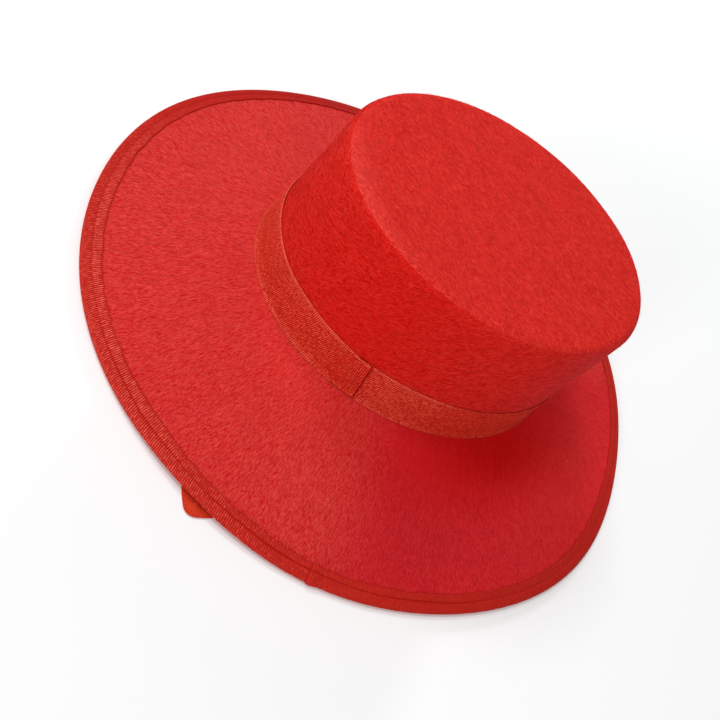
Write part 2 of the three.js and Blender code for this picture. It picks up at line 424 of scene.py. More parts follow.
def fibre_material():
    """Single brushed fibres, each of its own tone, with the felt's painted sheen, light and shade; a tone
    above 1 is a fleck of pale lint.
    """
    n = Nodes("red_fibre")
    tone = n.attribute("tone", "Fac")
    color = brushed_with_painted_light(n, n.ranged(tone, 0.0, 1.0))
    color = n.mix(n.ranged(tone, 1.2, 2.0), color, FELT_LINT)
    return n.finish(color, None, Roughness=0.8, **FELT_SHINE)


THREAD_PITCH = 0.00034


def ribbon_material(name, colors, levels, painted_glint_share):
    """Grosgrain: thick ribs across the ribbon, bound by fine threads that run along it.

    The colours are a painted shade in the grooves, the ribbon's own colour on the crests and a painted glint
    on the crests, and the levels are the heights where the first starts to give way, the second is full and
    the third is full. Random wear darkens it towards the groove colour.
    """
    n = Nodes(name)
    groove_shade_and_wear, crest, painted_glint = colors
    weave = n.attribute("weave")
    _, across, height = n.add("ShaderNodeSeparateXYZ", {"Vector": weave}).outputs
    threads = n.math("SINE", n.math("MULTIPLY", across, 2 * math.pi / THREAD_PITCH))
    yarn = n.noise(weave, (1500, 420, 0), detail=2, roughness=0.6)
    wear = n.noise(weave, (70, 110, 0), detail=2, roughness=0.5)
    lit = n.math("ADD", height, n.math("MULTIPLY", height, n.ranged(yarn, 0.3, 0.7, -0.36, 0.36)))
    color = n.mix(n.ranged(lit, levels[0], levels[1]), groove_shade_and_wear, crest)
    color = n.mix(n.ranged(lit, levels[1], levels[2], 0.0, painted_glint_share), color, painted_glint)
    color = n.mix(n.math("MULTIPLY", n.ranged(wear, 0.35, 0.7), 0.22), color, groove_shade_and_wear)
    normal = n.bump(n.ranged(threads, -1.0, 1.0), 0.00004, 0.5)
    normal = n.bump(yarn, 0.00004, 0.5, normal)
    return n.finish(color, normal, Roughness=0.6, Specular_IOR_Level=0.05)


def thread_material():
    n = Nodes("sewing_thread")
    twist = n.noise(n.attribute("weave"), (3000, 900, 0))
    color = n.mix(n.ranged(twist, 0.35, 0.65), (0.42, 0.006, 0.003, 1), (0.62, 0.024, 0.012, 1))
    return n.finish(color, n.bump(twist, 0.00004, 0.6), Roughness=0.65, Specular_IOR_Level=0.3)


# Each ribbon's colours: painted shade in the grooves, its own colour on the crests and a painted glint.
BINDING_COLORS = [(0.37, 0.005, 0.003, 1), (0.57, 0.026, 0.016, 1), (0.92, 0.160, 0.110, 1)]
BAND_COLORS = [(0.34, 0.003, 0.001, 1), (0.62, 0.023, 0.010, 1), (0.97, 0.145, 0.085, 1)]
STRAP_COLORS = [(0.52, 0.016, 0.006, 1), (0.64, 0.038, 0.013, 1), (0.76, 0.090, 0.036, 1)]

MATERIALS = {
    "felt": felt_material(),
    "fibre": fibre_material(),
    "band": ribbon_material("band_grosgrain", BAND_COLORS, (0.1, 0.75, 1.05), 0.9),
    "binding": ribbon_material("binding_grosgrain", BINDING_COLORS, (0.1, 0.65, 1.0), 0.95),
    "strap": ribbon_material("strap_grosgrain", STRAP_COLORS, (0.0, 0.7, 1.1), 0.6),
    "thread": thread_material(),
}

# --- Chin strap ---

# How much wider the turn's outer half is at its middle, where the ribbon pulls into a corner.
STRAP_CORNER = 0.15

# The strap's middle line from its left end to the turn, and from the turn to its right end: x, y, z and
# the heading in degrees.
LEFT_LEG = [
    (*STRAP_EXIT, 0), (0.0778, 0, 0.037, 0), (0.0782, 0, 0.030, 0),
    (0.0792, -0.001, 0.020, -15), (0.083, -0.005, 0.011, -34), (0.091, -0.0135, 0.0045, -44),
    (0.101, -0.025, 0.0015, -46), (0.113, -0.0385, STRAP_FLOOR, -46), (0.132, -0.057, STRAP_FLOOR, -44),
    (0.147, -0.071, STRAP_FLOOR, -49), (0.1559, -0.0809, STRAP_FLOOR, -64),
]
RIGHT_LEG = [
    (0.1463, -0.0974, STRAP_FLOOR, -167), (0.126, -0.0988, STRAP_FLOOR, -183),
    (0.090, -0.088, STRAP_FLOOR, -200), (0.050, -0.070, STRAP_FLOOR, -208),
    (0.010, -0.047, STRAP_FLOOR, -210), (-0.028, -0.025, STRAP_FLOOR, -210),
    (-0.052, -0.012, STRAP_FLOOR, -207), (-0.065, -0.006, 0.0018, -202), (-0.074, -0.002, 0.007, -190),
    (-0.0776, -0.0003, 0.017, -183), (-0.0782, 0, 0.030, -180), (-0.0778, 0, 0.037, -180),
    (-STRAP_EXIT[0], 0, STRAP_EXIT[2], -180),
]


def strap_route():
    """Rows x, y, z, heading and bank of the strap's middle line, the headings and banks in degrees."""
    turn = []
    for step in range(STRAP_TURN["steps"] + 1):
        done = step / STRAP_TURN["steps"]
        heading = lerp(STRAP_TURN["enter"], STRAP_TURN["leave"], done)
        share = math.sin(math.pi * done)
        rise = STRAP_WIDTH / 2 * math.sin(math.radians(STRAP_TURN["bank"])) * share
        x = STRAP_TURN["x"] - STRAP_TURN["radius"] * math.sin(math.radians(heading))
        y = STRAP_TURN["y"] + STRAP_TURN["radius"] * math.cos(math.radians(heading))
        turn.append((x, y, STRAP_FLOOR + rise, heading, STRAP_TURN["bank"] * share))
    return np.array([(*p, 0) for p in LEFT_LEG] + turn + [(*p, 0) for p in RIGHT_LEG], float)


def curve_through(points, at):
    """Places and tangents on the centripetal Catmull-Rom curve; at counts spans from the first point."""
    padded = np.vstack([2 * points[0] - points[1], points, 2 * points[-1] - points[-2]])
    span = np.clip(at.astype(int), 0, len(points) - 2)
    t = (at - span)[:, None]
    p0, p1, p2, p3 = (padded[span + k] for k in range(4))
    d0, d1, d2 = (np.sqrt(np.linalg.norm(b - a, axis=1))[:, None] for a, b in ((p0, p1), (p1, p2), (p2, p3)))
    m1 = ((p1 - p0) / d0 - (p2 - p0) / (d0 + d1) + (p2 - p1) / d1) * d1
    m2 = ((p2 - p1) / d1 - (p3 - p1) / (d1 + d2) + (p3 - p2) / d2) * d1
    c2 = -3 * p1 + 3 * p2 - 2 * m1 - m2
    c3 = 2 * p1 - 2 * p2 + m1 + m2
    return p1 + m1 * t + c2 * t**2 + c3 * t**3, unit(m1 + 2 * c2 * t + 3 * c3 * t**2)


def make_chin_strap():
    route = strap_route()
    fine = np.linspace(0, len(route) - 1, 3000)
    run = run_along(curve_through(route[:, :3], fine)[0])
    columns = int(run[-1] / STRAP_RIB) * 5 + 1
    along = np.linspace(0, run[-1], columns)
    at = np.interp(along, run, fine)
    middle, tangent = curve_through(route[:, :3], at)
    heading, bank = (np.radians(np.interp(at, range(len(route)), turns)) for turns in route[:, 3:].T)
    across = joined(-np.sin(heading) * np.cos(bank), np.cos(heading) * np.cos(bank), -np.sin(bank))
    across = unit(across - tangent * np.sum(across * tangent, -1, keepdims=True))
    out_of_face = np.cross(tangent, across)

    half = STRAP_WIDTH / 2
    over = np.array([-1, -0.94, -0.6, 0, 0.6, 0.94, 1]) * half
    sides = np.concatenate([over, over[::-1]])
    faces_up = np.repeat([1, -1], len(over))
    flatness = np.clip((half - np.abs(sides)) / (0.12 * half), 0, 1) ** 0.5
    bulge = rib_bulge(along, STRAP_RIB)[:, None]
    thick = faces_up * (RIBBON / 2 * (0.35 + 0.65 * flatness) + RIB_RELIEF * bulge * flatness)
    wide = sides + np.sign(sides) * (np.abs(sides) > 0.9 * half) * (bulge - 1) * STRAP_PICOT
    turned = np.clip((at - len(LEFT_LEG)) / STRAP_TURN["steps"], 0, 1)[:, None]
    wide = wide + np.maximum(sides, 0) * STRAP_CORNER * np.sin(math.pi * turned) ** 2
    points = middle[:, None] + across[:, None] * wide[..., None] + out_of_face[:, None] * thick[..., None]

    rows = len(sides)
    faces = [grid_faces(columns, rows, closed_rows=True)]
    for ring, order in ((0, 1), (columns - 1, -1)):
        quads = [(k, k + 1, rows - 2 - k, rows - 1 - k) for k in range(len(over) - 1)]
        faces.append(np.array(quads)[:, ::order] + ring * rows)
    weave = (along[:, None], sides[None], bulge * flatness)
    piece = make_ribbon("chin_strap_ribbon", "strap", points, faces, weave, "chin_strap")


make_chin_strap()

# --- Felt ---


def heading_of(start, end):
    return unit(np.subtract(end, start))


def rounded_corner(before, corner, after, radius, steps):
    """An arc that rounds a corner between two straight stretches, as an array of (r, z)."""
    back, on = heading_of(corner, before), heading_of(corner, after)
    half = math.acos(back @ on) / 2
    centre = corner + unit(back + on) * radius / math.sin(half)
    ends = (corner + way * radius / math.tan(half) - centre for way in (back, on))
    start, end = (math.atan2(y, x) for x, y in ends)
    turn = (end - start + math.pi) % (2 * math.pi) - math.pi
    angles = start + turn * np.linspace(0, 1, steps + 1)
    return centre + radius * joined(np.cos(angles), np.sin(angles))


def felt_corners(depth):
    """Corners of the felt's face at a depth below its outer face: crown's edge, foot, brim's edge."""
    foot = np.array([FOOT_R, CROWN_FOOT["z"]])
    wall = heading_of((TOP_R, CROWN_TOP["z"]), foot)
    slope = heading_of(foot, (FELT_EDGE_R, FELT_EDGE_TOP))
    top = (TOP_R - depth * (wall[0] - wall[1]), CROWN_TOP["z"] - depth)
    along = depth * (1 - wall @ slope) / (wall[0] * slope[1] - wall[1] * slope[0])
    foot = foot + depth * np.array([wall[1], -wall[0]]) + wall * along
    return np.array([top, foot, (FELT_EDGE_R, FELT_EDGE_TOP - depth / slope[0])])


def felt_outline(depth, step):
    """Section of the felt's face from the axis to the brim's edge, with points about a step apart."""
    top, foot, edge = felt_corners(depth)
    edge_arc = rounded_corner((0, top[1]), top, foot, TOP_ROUNDING - depth, 12)
    foot_arc = rounded_corner(top, foot, edge, FOOT_ROUNDING + depth, 6)
    r = np.linspace(0, edge_arc[0][0], int(edge_arc[0][0] / step))
    cap = joined(r, top[1] + TOP_DOME * (1 - (r / r[-1]) ** 2))
    stretches = [cap[:-1], edge_arc]
    for then in (foot_arc, edge[None]):
        start, end = stretches[-1][-1], then[0]
        count = int(np.linalg.norm(end - start) / step)
        stretches += [lerp(start, end, (np.arange(1, count) / count)[:, None]), then]
    return np.vstack(stretches)


def brim_height(r, depth):
    """Height of the felt's face where it slopes down to the edge."""
    _, foot, edge = felt_corners(depth)
    return edge[1] + (r - edge[0]) * (foot[1] - edge[1]) / (foot[0] - edge[0])


# A place on the felt is in one of these zones, each with its own grain. Its number is its place here.
ZONES = ["brim", "side", "top"]

FELT_COLUMNS = 400
# How far apart the rows of points lie on the felt's two faces.
FELT_STEPS = {"outer": 0.0028, "inner": 0.0045}
CROWN_GRAIN = math.radians(53)
# Round this angle the brim's streaks are longest and finest.
LONG_STREAKS = math.radians(-163)

# The wall's fibres climb by WALL_CLIMB * sin(angle - CLIMB_FROM) as they go round.
WALL_CLIMB = 0.75
CLIMB_FROM = math.radians(-75)


def grain_of(section, angle, zone):
    """Where points of the felt lie in its grain: two numbers across the fibres and one along them.

    The fibres lie outwards on the brim, round the crown's wall and one way across the crown's top.
    """
    r, z, angle = np.broadcast_arrays(section[..., 0], section[..., 1], angle)
    a = np.radians(angle)
    sway = 0.0009 * ripple(on_hat(r, z, angle), 0.022, seed=13)
    finer = 0.15 * (1 + 0.25 * smooth((np.cos(a - LONG_STREAKS) - 0.3) / 0.5))
    longer = 1 - 0.3 * smooth((np.cos(a - LONG_STREAKS) - 0.3) / 0.5)
    brim = joined(finer * np.cos(a) + sway, finer * np.sin(a), r * longer)
    side = joined(0.8 * z + 0.07 * WALL_CLIMB * np.cos(a - CLIMB_FROM) + sway, 0.1 + r, 0.13 * a)
    x, y = r * np.cos(a), r * np.sin(a)
    c, s = math.cos(CROWN_GRAIN), math.sin(CROWN_GRAIN)
    top = joined(y * c - x * s + sway, 0.3, x * c + y * s) * 1.22
    return np.choose(np.broadcast_to(zone, r.shape)[..., None], [brim, side, top])


# The nap of the brim, the wall and the top, with a painted sheen. A row says what its tips add to green and
# to blue and its share of pale tips, first where it is least and then where most, at which angle that is,
# and between which two cosines of the distance from there it goes from the one to the other. What is added
# is in part painted sheen: on the brim most on the side where the key light falls, on the wall most round
# 75 degrees, and on the top the same all over.
NAP_AND_PAINTED_SHEEN = [
    ((0.0072, 0.0170, 0.27), (0.0030, 0.0085, 0.83), -130, -0.72, -0.47),
    ((0.0000, 0.0000, 0.42), (0.0080, 0.0135, 0.42), 75, 0.55, 0.95),
    ((0.0030, 0.0035, 0.50), (0.0030, 0.0035, 0.50), 0, -1.0, 1.0),
]
# A patch: its middle and half width in degrees, and the two distances from the axis between which it sets
# in. From -1 to 0 it is whole at all of them.
# In this patch beside the crown the crown's shadow on the brim is painted: the sheen and pale tips are taken
# down.
CROWN_SHADOW_PATCH = (40, 40, 0.148, 0.105)
CROWN_SHADOW_DEPTH = 0.8
# Patches of painted light and shade, where the felt is made lighter or darker as light falls more or less
# on it: how much more light there is, and what is added to green, blue and the share of tips. Among them
# are the crown's shadow on the brim and a highlight along the crown's top edge, both painted.
PAINTED_LIGHT_PATCHES = [
    ("brim", (72, 26, 0.100, 0.128), 0.14, (0.006, 0.001, -0.07)),
    ("brim", (3, 13, 0.120, 0.165), -0.12, (0, 0, 0)),
    ("brim", (35, 42, 0.150, 0.105), -0.09, (0, 0, 0)),
    ("brim", (38, 36, 0.116, 0.100), 0.06, (0, 0, 0)),
    ("brim", (-32, 16, 0.128, 0.100), 0.09, (0, 0, 0)),
    ("brim", (-50, 36, 0.080, 0.090), 0, (-0.0015, -0.001, -0.08)),
    ("side", (65, 25, -1, 0), 0.13, (0, 0, 0)),
    ("side", (-30, 32, -1, 0), 0, (0, 0, -0.16)),
    ("top", (0, math.inf, -1, 0), 0.05, (0, 0, 0)),
    ("top", (-68, 30, 0.074, 0.084), 0.10, (0.017, 0.013, 0)),
]
# Inside and below, the felt has the nap, painted sheen and painted light of this angle all the way round.
PLAIN_SIDE = -150


def looks_of(r, angle, zone):
    """How the nap and its painted sheen colour the felt, and its painted light and shade, at some places."""
    r, angle, zone = np.broadcast_arrays(r, angle, zone)
    layers = []
    for least, most, middle, start, end in NAP_AND_PAINTED_SHEEN:
        toward = smooth((np.cos(np.radians(angle - middle)) - start) / (end - start))
        layers.append(lerp(np.array(least), np.array(most), toward[..., None]))
    nap_and_sheen = np.choose(zone[..., None], layers)

    def share_of(middle, half_width, start, end):
        return smooth((r - start) / (end - start)) * bell(angle, middle, half_width)

    # Painted shadow of the crown on the brim: there the sheen and the pale tips are taken down.
    nap_and_sheen = nap_and_sheen * (1 - CROWN_SHADOW_DEPTH * share_of(*CROWN_SHADOW_PATCH) * (zone == ZONES.index("brim")))[..., None]
    painted_light = np.ones(r.shape)
    # Patches of painted light and shade.
    for name, patch, more, added in PAINTED_LIGHT_PATCHES:
        share = share_of(*patch) * (zone == ZONES.index(name))
        painted_light = painted_light + more * share
        nap_and_sheen = nap_and_sheen + np.array(added) * share[..., None]
    return {"nap_and_sheen": nap_and_sheen, "painted_light": painted_light}


def axis_fans(section):
    """Triangles that close the felt's two faces round the hat's axis, and the grain at their corners."""
    rows = len(section)
    centre = FELT_COLUMNS * rows
    i = np.arange(FELT_COLUMNS)
    fans, grain = [], []
    for point, row, first, second in ((centre, 0, i, i + 1), (centre + 1, rows - 1, i + 1, i)):
        rim = [column % FELT_COLUMNS * rows + row for column in (first, second)]
        fans.append(joined(point, *rim))
        middle, ring = section[[row]] * [0, 1], section[[row]]
        spokes = [(middle, first), (ring, first), (ring, second)]
        corners = [grain_of(end, column * 360 / FELT_COLUMNS, ZONES.index("top")) for end, column in spokes]
        grain.append(np.stack(corners, 1).reshape(-1, 3))
    return fans, np.vstack(grain)


def make_felt():
    outer = felt_outline(0, FELT_STEPS["outer"])
    inner = felt_outline(FELT, FELT_STEPS["inner"])
    section = np.vstack([outer[1:], inner[:0:-1]])
    rows = len(section)
    angles = np.arange(FELT_COLUMNS)[:, None] * 360 / FELT_COLUMNS
    points = on_hat(section[:, 0], section[:, 1], angles)
    faces = grid_faces(FELT_COLUMNS, rows, closed_columns=True)[:, ::-1]
    column, row = faces // rows, faces % rows
    last = faces.max(1) // rows == FELT_COLUMNS - 1
    column = np.where((column == 0) & last[:, None], FELT_COLUMNS, column)
    corners = section[row]
    middle = corners.mean(1, keepdims=True)
    rounding = CROWN_TOP["z"] - TOP_ROUNDING * 0.3
    zone = np.where(middle[..., 0] > FOOT_R, 0, np.where(middle[..., 1] < rounding, 1, 2))
    angle = column * 360 / FELT_COLUMNS
    angle = np.where(angle.mean(1, keepdims=True) > 90, angle - 360, angle)
    fans, fan_grain = axis_fans(section)
    centres = on_hat(0.0, [outer[0, 1], inner[0, 1]], 0.0)
    points = np.vstack([points.reshape(-1, 3), centres])
    grain = np.vstack([grain_of(corners, angle, zone).reshape(-1, 3), fan_grain])
    inside = (row >= len(outer) - 1).all(1, keepdims=True)
    # The looks carry the nap with its painted sheen, and painted light and shade.
    looks = looks_of(corners[..., 0], np.where(inside, PLAIN_SIDE, angle), zone)
    middle_looks = looks_of(*np.zeros((2, len(fan_grain))), ZONES.index("top"))
    nap_and_sheen = np.vstack([looks["nap_and_sheen"].reshape(-1, 3), middle_looks["nap_and_sheen"]])
    painted_light = np.concatenate([looks["painted_light"].ravel(), middle_looks["painted_light"]])
    layers = {"grain": grain, "nap_and_sheen": nap_and_sheen, "painted_light": painted_light}
    piece = make_piece("hat_felt", points, [faces, *fans], MATERIALS["felt"], layers)
    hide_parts("felt_body")


make_felt()

# --- Fibres that lie on the felt or stand out of it ---


def lie_of_felt(count, zone, rng):
    """Random places on one zone: the places, the ways down, round and out of the felt, and its looks."""
    outline = felt_outline(0, 0.0008)
    r, z = outline[:, 0], outline[:, 1]
    spans = {
        "brim": (r > FOOT_R + 0.002) & (r < EDGE_R - BINDING_WIDTH + 0.001),
        "side": (r < FOOT_R) & (z > BAND_TOP - 0.001) & (z < CROWN_TOP["z"] - 0.001),
        "top": z >= CROWN_TOP["z"] - 0.001,
    }
    chosen = outline[spans[zone]]
    steps = np.linalg.norm(np.diff(chosen, axis=0), axis=1) * (chosen[1:, 0] + chosen[:-1, 0]) / 2
    share = np.concatenate([[0], np.cumsum(steps)]) / steps.sum()
    pick = rng.uniform(size=count)
    angle = rng.uniform(0, 360, count)

    def at(share_at, turn):
        r_at, z_at = (np.interp(share_at, share, column) for column in chosen.T)
        return on_hat(r_at, z_at, angle + turn)

    pick = np.clip(pick, 0.001, 0.999)
    place = at(pick, 0)
    down = unit(at(pick + 0.0005, 0) - at(pick - 0.0005, 0))
    around = unit(at(pick, 0.1) - at(pick, -0.1))
    looks = looks_of(np.hypot(place[:, 0], place[:, 1]), angle, ZONES.index(zone))
    return place, down, around, unit(np.cross(down, around)), angle, looks


def strips(place, way, up, length, width, lift, tip_lift, bend, stations):
    """Narrow strips of quads through places: each has the same number of stations along it."""
    along = np.linspace(-0.5, 0.5, stations)[None, :, None]
    span = length[:, None, None]
    side = unit(np.cross(up, way))[:, None]
    arch = lerp(lift[:, None, None], tip_lift[:, None, None], (2 * along) ** 2)
    middle = place[:, None] + way[:, None] * along * span + up[:, None] * arch
    middle = middle + side * bend[:, None, None] * span * (along**2 - 0.08)
    half = width[:, None, None] / 2 * (1 - 0.75 * (2 * along) ** 4)
    return np.stack([middle - side * half, middle + side * half], 2)


def strip_faces(count, stations):
    base = np.arange(count)[:, None] * stations * 2 + np.arange(stations - 1) * 2
    return joined(base, base + 1, base + 3, base + 2).reshape(-1, 4)


# How much the tones of the lying fibres differ, and the mean radius of the wall that they go round.
FIBRE_CONTRAST = {"brim": 0.27, "side": 0.4, "top": 0.16}
WALL_RADIUS = 0.09


def lying_fibres(zone, count, rng):
    place, down, around, up, angle, looks = lie_of_felt(count, zone, rng)
    wander = np.radians(rng.normal(0, 9, count) + 5 * ripple(place, 0.02, seed=14))
    if zone == "brim":
        lean = wander
    elif zone == "side":
        lean = math.pi / 2 + np.arctan(WALL_CLIMB * np.sin(np.radians(angle) - CLIMB_FROM)) + wander
    else:
        lean = CROWN_GRAIN + wander
        down, around = (np.broadcast_to(axis, place.shape) for axis in ([1.0, 0, 0], [0, 1.0, 0]))
    way = unit(down * np.cos(lean)[:, None] + around * np.sin(lean)[:, None])
    length = rng.uniform(0.0025, 0.0065, count)
    fall = np.where(zone == "side", np.sin(lean) ** 2, 0.0) * (length / 2) ** 2 / (2 * WALL_RADIUS)
    lift = rng.uniform(0.00004, 0.00016, count)
    tips = lift - 0.00008 - fall
    width = rng.uniform(0.00011, 0.00022, count)
    points = strips(place, way, up, length, width, lift, tips, rng.normal(0, 0.22, count), 4)
    looks["tone"] = np.clip(rng.normal(0.5, FIBRE_CONTRAST[zone], count), 0, 1)
    return points, looks, strip_faces(count, 4)


LINT_TONE = 2
FIBRES_TO_A_FLECK = 400


def standing_fibres(zone, count, rng):
    place, down, around, up, _, looks = lie_of_felt(count, zone, rng)
    heading = rng.uniform(0, 2 * math.pi, count)[:, None]
    sideways = down * np.cos(heading) + around * np.sin(heading)
    rise = np.radians(rng.uniform(8, 60, count))[:, None]
    way = unit(sideways * np.cos(rise) + up * np.sin(rise))
    length = rng.uniform(0.0008, 0.0022, count)
    centre = place + way * length[:, None] * 0.42
    width = rng.uniform(0.00006, 0.00011, count)
    none = np.zeros(count)
    bend = rng.normal(0, 0.8, count)
    points = strips(centre, way, unit(np.cross(way, around)), length, width, none, none, bend, 3)
    looks["tone"] = np.clip(rng.normal(0.65, 0.25, count), 0, 1)
    looks["tone"][: count // FIBRES_TO_A_FLECK] = LINT_TONE
    return points, looks, strip_faces(count, 3)


def make_fibres(name, recipe, seed):
    rng = np.random.default_rng(seed)
    points, faces, start = [], [], 0
    # Each fibre's tone, nap with painted sheen, and painted light and shade.
    layers = {"tone": [], "nap_and_sheen": [], "painted_light": []}
    for maker, zone, count in recipe:
        new, looks, quads = maker(zone, count, rng)
        new = new.reshape(-1, 3)
        for key, values in layers.items():
            values.append(np.repeat(looks[key], len(new) // count, axis=0))
        points.append(new)
        faces.append(quads + start)
        start += len(new)
    layers = {key: np.concatenate(values) for key, values in layers.items()}
    make_piece(name, np.vstack(points), faces, MATERIALS["fibre"], layers)


make_fibres("brim_fibres", [(lying_fibres, "brim", 26000), (standing_fibres, "brim", 6000)], seed=41)
make_fibres(
    "crown_fibres",
    [
        (lying_fibres, "side", 15000), (lying_fibres, "top", 9500),
        (standing_fibres, "side", 4500), (standing_fibres, "top", 2500),
    ],
    seed=42,
)

# --- Hat band ---


def band_section(stand_off, rows):
    """(r, z) up the band from its foot on the brim, at a distance out from the felt, evenly spaced."""
    outline = felt_outline(-stand_off, 0.002)
    foot = np.argmin(np.abs(outline[:, 0] - FOOT_R - 0.002) + np.abs(outline[:, 1] - BAND_FOOT))
    path = outline[foot::-1]
    run = run_along(path)
    end = np.interp(BAND_TOP, path[:, 1], run)
    at = np.linspace(0, 1, rows) * end
    return joined(*(np.interp(at, run, axis) for axis in path.T))


def end_caps(columns, outer_rows, inner_rows):
    """Quads that close both ends of an open strip whose rings go up its outer face and back down."""
    total = outer_rows + inner_rows
    caps = []
    for ring, order in ((0, 1), (columns - 1, -1)):
        quads = []
        for k in range(outer_rows - 1):
            near = total - 1 - round(k * (inner_rows - 1) / (outer_rows - 1))
            far = total - 1 - round((k + 1) * (inner_rows - 1) / (outer_rows - 1))
            quads.append((k, k + 1, far, near) if near != far else (k, k + 1, far))
        for size in (3, 4):
            same = [quad for quad in quads if len(quad) == size]
            if same:
                caps.append(np.array(same)[:, ::order] + ring * total)
    return caps


# Shares of the band's width at which its rows lie, and which of these rows its back has too.
BAND_ROWS = np.array([0, 25, 60, 130, 220, 320, 430, 540, 650, 750, 840, 910, 945, 960, 985, 1000]) / 1000
BAND_BACK = np.array([0, 3, 7, 12, len(BAND_ROWS) - 1])
# The band's faces are set out between two sections: one on the felt and one this far out from it.
BAND_FAR = 0.003
SECTION_POINTS = 60
# Between these angles past the lap the ribs' painted highlights and shade are faint and the band a little
# lighter.
BAND_FAINT_RIBS = {"from": 12, "to": 95}


def band_tone(turned, bulge, from_lap, to_end):
    """How light the band's weave is: painted highlights on its ribs' crests and on the loops along its
    edges, painted shade in the grooves and beside the lap.
    """
    picot = np.where(BAND_ROWS > 0.95, 0.28, 0.0) + np.where(BAND_ROWS < 0.03, 0.1, 0.0)
    faint = smooth((turned - BAND_FAINT_RIBS["from"]) / 30) * smooth((BAND_FAINT_RIBS["to"] - turned) / 25)
    clear = 1 - 0.2 * smooth((turned - 346) / 8) - 0.5 * faint
    tone = (0.45 + 0.07 * faint + (bulge - 0.45) * clear) * (1 + picot * (1 - faint))
    shade = np.exp(-((np.maximum(from_lap, -0.0004) / 0.0006) ** 2))
    return tone - 0.55 * np.maximum(shade, smooth(1 - to_end / 0.0005))


def make_band():
    girth = 2 * math.pi * FOOT_R
    width = BAND_TOP - BAND_FOOT
    columns = round((girth + BAND_LAP) / BAND_RIB) * 6 + 1
    rows = len(BAND_ROWS)
    share = np.linspace(0, 1, columns)[:, None]
    to_end = (1 - share) * girth
    fine = np.linspace(0, 1, 200)
    upright = np.cumsum(smooth((fine - 0.04) / 0.2) * smooth((0.96 - fine) / 0.2)) / len(fine)
    leaned = np.interp(BAND_ROWS, fine, upright)[None] * width * math.tan(math.radians(BAND_LEAN))
    lean = leaned * smooth(share * girth / 0.008) * smooth(to_end / 0.024)
    lap = BAND_LAP - BAND_LAP_SLANT * BAND_ROWS[None]
    turned = share * (360 + lap / girth * 360)
    angle = BAND_JOIN_ANGLE + turned + np.degrees(lean / FOOT_R)
    place = turned / 360 * girth + lean
    along = place - leaned
    rise = BAND_LAP_RISE / girth * 360
    climb = smooth((turned - 360 + rise) / (0.85 * rise))
    points_up = np.arange(SECTION_POINTS)
    heights = BAND_ROWS * points_up[-1]
    near, far = (
        joined(*(np.interp(heights, points_up, axis) for axis in band_section(out, SECTION_POINTS).T))
        for out in (0.0, BAND_FAR)
    )

    def face(stand_off, chosen=slice(None)):
        section = lerp(near[None, chosen], far[None, chosen], (stand_off / BAND_FAR)[..., None])
        return on_hat(section[..., 0], section[..., 1], angle[:, chosen])

    on_felt = face(np.full_like(angle, BAND_FAR / 2))
    slack = 0.00004 + 0.00004 * (1 + ripple(on_felt, 0.05, seed=21)) * smooth((BAND_ROWS - 0.75) / 0.25)
    slack = slack + 0.00010 * (1 + ripple(on_felt, 0.035, seed=22)) * smooth((0.2 - BAND_ROWS) / 0.2)
    curl = 0.0003 * smooth(1 - to_end / 0.003) + 0.00012 * smooth((BAND_ROWS - 0.94) / 0.02)
    base = slack + climb * (RIBBON + 0.0002) + curl
    bulge = rib_bulge(along, BAND_RIB)
    flatness = np.clip(np.minimum(BAND_ROWS, 1 - BAND_ROWS) / 0.03, 0, 1) ** 0.5
    outer = face(base + RIBBON * (0.45 + 0.55 * flatness) + RIB_RELIEF * 1.1 * bulge)
    inner = face((base + RIBBON * 0.4 * (1 - flatness))[:, BAND_BACK], BAND_BACK)
    loops = (bulge - 0.5) * 0.00022 * (np.abs(BAND_ROWS - 0.5) > 0.49) * np.sign(BAND_ROWS - 0.5)
    sway = ripple(on_felt, 0.06, seed=23) * 0.00025 * BAND_ROWS
    outer[..., 2] += loops + sway
    inner[..., 2] += (loops + sway)[:, BAND_BACK]
    points = np.concatenate([outer, inner[:, ::-1]], 1)
    caps = end_caps(columns, rows, len(BAND_BACK))
    faces = [grid_faces(columns, rows + len(BAND_BACK), closed_rows=True), *caps]

    ring = np.concatenate([np.arange(rows), BAND_BACK[::-1]])
    tone = band_tone(turned, bulge, place - lap, to_end)
    weave = (along[:, ring], BAND_ROWS[ring] * width, tone[:, ring])
    make_ribbon("band_ribbon", "band", points, faces, weave, "hat_band")


make_band()

# --- Brim binding ---


EDGE_GIRTH = 2 * math.pi * EDGE_R
# How far in from the brim's edge the tape's upper rows lie: close together at the seam.
NOSE = (CAD_RIBBON + CAD_GAP + FELT + CAD_GAP + CAD_RIBBON) / 2
TOP_REACHES = np.array(
    [BINDING_WIDTH - step for step in (0, 0.0003, 0.0011, 0.0021, 0.0032)]
    + [BINDING_SEAM + step for step in (0.00055, 0.00025, 0, -0.00025, -0.00055, -0.0018)]
    + [NOSE]
)
TOP_ROWS = len(TOP_REACHES)


def tape_top(reach):
    """How far the tape's upper face stands above the felt: it is drawn down flat towards its inner edge."""
    return np.interp(reach, [NOSE, BINDING_WIDTH], [CAD_GAP + CAD_RIBBON, RIBBON])


def binding_outline():
    """(r, z) of the binding's outer face from its upper inner edge round the nose to its lower one."""
    top_r = EDGE_R - TOP_REACHES
    top = joined(top_r, brim_height(top_r, 0) + tape_top(TOP_REACHES))
    arc = np.radians(np.linspace(55, -90, 5))
    round_nose = joined(EDGE_R - NOSE + NOSE * np.cos(arc), NOSE + NOSE * np.sin(arc))
    foot_r = EDGE_R - NOSE - BINDING_FOOT * 0.6
    foot = [(foot_r, 0)]
    under_r = np.linspace(foot_r - 0.0012, EDGE_R - BINDING_WIDTH, 3)
    under = joined(under_r, brim_height(under_r, FELT + CAD_GAP + CAD_RIBBON))
    return np.vstack([top, round_nose, foot, under])


